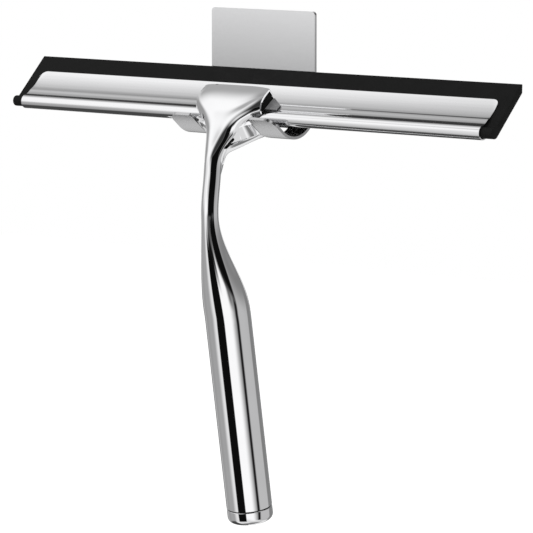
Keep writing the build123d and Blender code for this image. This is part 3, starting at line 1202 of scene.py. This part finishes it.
def standStage(name, mesh, material):
    scenery = bpy.data.objects.new(name, mesh)
    bpy.context.collection.objects.link(scenery)
    mesh.materials.append(material)
    return scenery


def flatCard(name, x, y, z):
    # a level rectangle between two places each way
    mesh = bpy.data.meshes.new(name)
    corners = [(x[0], y[0], z), (x[1], y[0], z), (x[1], y[1], z), (x[0], y[1], z)]
    mesh.from_pydata(corners, [], [(0, 1, 2, 3)])
    return mesh


def makeFloor():
    material = bpy.data.materials.new("paleFloor")
    material.use_nodes = True
    nodes = Nodes(material.node_tree)
    matte = nodes.tree.nodes["Principled BSDF"]
    matte.inputs["Base Color"].default_value = (*[studio["floorGrey"]] * 3, 1)
    matte.inputs["Roughness"].default_value = studio["floorRough"]
    # a little glow brings the lit floor to white and leaves the shadow on it
    glow = nodes.out("ShaderNodeEmission", {"Strength": studio["floorGlow"]})
    both = nodes.out("ShaderNodeAddShader", {0: matte.outputs[0], 1: glow})
    whiteWhereSeen(nodes, matte.outputs[0], both, "Material Output")
    across = (-studio["floorReach"], studio["floorReach"])
    mesh = flatCard("floor", across, across, cadBox[0][2] - studio["floorDrop"])
    floor = standStage("floor", mesh, material)
    floor.visible_glossy = False  # mirrors see the tent's white instead


def hangLamps():
    middle = (Vector(cadBox[0]) + Vector(cadBox[1])) / 2
    for lamp in studio["lamps"]:
        light = bpy.data.lights.new(lamp["name"], "AREA")
        light.energy = lamp["power"]
        light.size = lamp["size"]
        stand = bpy.data.objects.new(lamp["name"], light)
        stand.location = lamp["place"]
        stand.rotation_euler = (middle - stand.location).to_track_quat("-Z", "Y").to_euler()
        stand.visible_glossy = False
        bpy.context.collection.objects.link(stand)


class Glow(Finish):
    # a card's or the tent's own light, which only mirrors see
    def __init__(self, name):
        super().__init__(name)
        self.tree.nodes.remove(self.tree.nodes["Principled BSDF"])

    def shine(self, inputs):
        glow = self.out("ShaderNodeEmission", inputs)
        self.plug(glow, self.tree.nodes["Material Output"].inputs["Surface"])

    def hang(self, name, mesh):
        scenery = standStage(name, mesh, self.material)
        for ray in ("camera", "diffuse", "transmission", "volume_scatter", "shadow"):
            setattr(scenery, "visible_" + ray, False)


def makeBounce():
    glow = Glow("bounceCard")
    ends = [end * mm for end in studio["bounceY"]]
    place = glow.node("ShaderNodeSeparateXYZ", {0: glow.coords}).outputs["Y"]
    glow.shine({"Strength": glow.spread(place, studio["bounceGrey"], ends)})
    for card in studio["bounce"]:
        mesh = flatCard(card["name"], [end * mm for end in card["x"]], ends, studio["bounceZ"] * mm)
        glow.hang(card["name"], mesh)


def makeTent():
    # white, with darker cards that draw the chrome's stripes
    glow = Glow("tentCloth")
    unit = glow.out("ShaderNodeVectorMath", {0: glow.coords}, operation="NORMALIZE")
    yaw = math.radians(camera["yaw"])

    def along(*direction):
        inputs = {0: unit, 1: direction}
        return glow.node("ShaderNodeVectorMath", inputs, operation="DOT_PRODUCT").outputs["Value"]

    def edge(angle, middle, soft, values):
        ends = (math.radians(middle - soft), math.radians(middle + soft))
        fade = glow.spread(angle, values, ends)
        fade.node.interpolation_type = "SMOOTHSTEP"
        return fade

    right, toCamera = along(math.cos(yaw), math.sin(yaw), 0), along(math.sin(yaw), -math.cos(yaw), 0)
    turned, raised = glow.calc("ARCTAN2", right, toCamera), glow.calc("ARCSINE", along(0, 0, 1))
    colour = white
    for name, turn, height, grey, soft in studio["cards"]:
        cover = None
        for angle, ends, blur in ((turned, turn, soft[0]), (raised, height, soft[1])):
            for end, values in zip(ends, ((0.0, 1.0), (1.0, 0.0))):
                fade = edge(angle, end, blur, values)
                cover = fade if cover is None else glow.calc("MULTIPLY", cover, fade)
        inputs = {"Factor": cover, "A": colour, "B": (grey, grey, grey, 1)}
        colour = glow.node("ShaderNodeMix", inputs, data_type="RGBA", label=name).outputs["Result"]
    glow.shine({"Color": colour})
    shell = bmesh.new()
    bmesh.ops.create_uvsphere(shell, u_segments=64, v_segments=32, radius=studio["tentRadius"])
    mesh = bpy.data.meshes.new("tent")
    shell.to_mesh(mesh)
    shell.free()
    glow.hang("tent", mesh)


makeCamera()
makeWorld()
makeFloor()
makeTent()
makeBounce()
hangLamps()
print("stage ready:", len(studio["cards"]), "cards in the tent")

bpy.context.scene.view_settings.view_transform = "Standard"
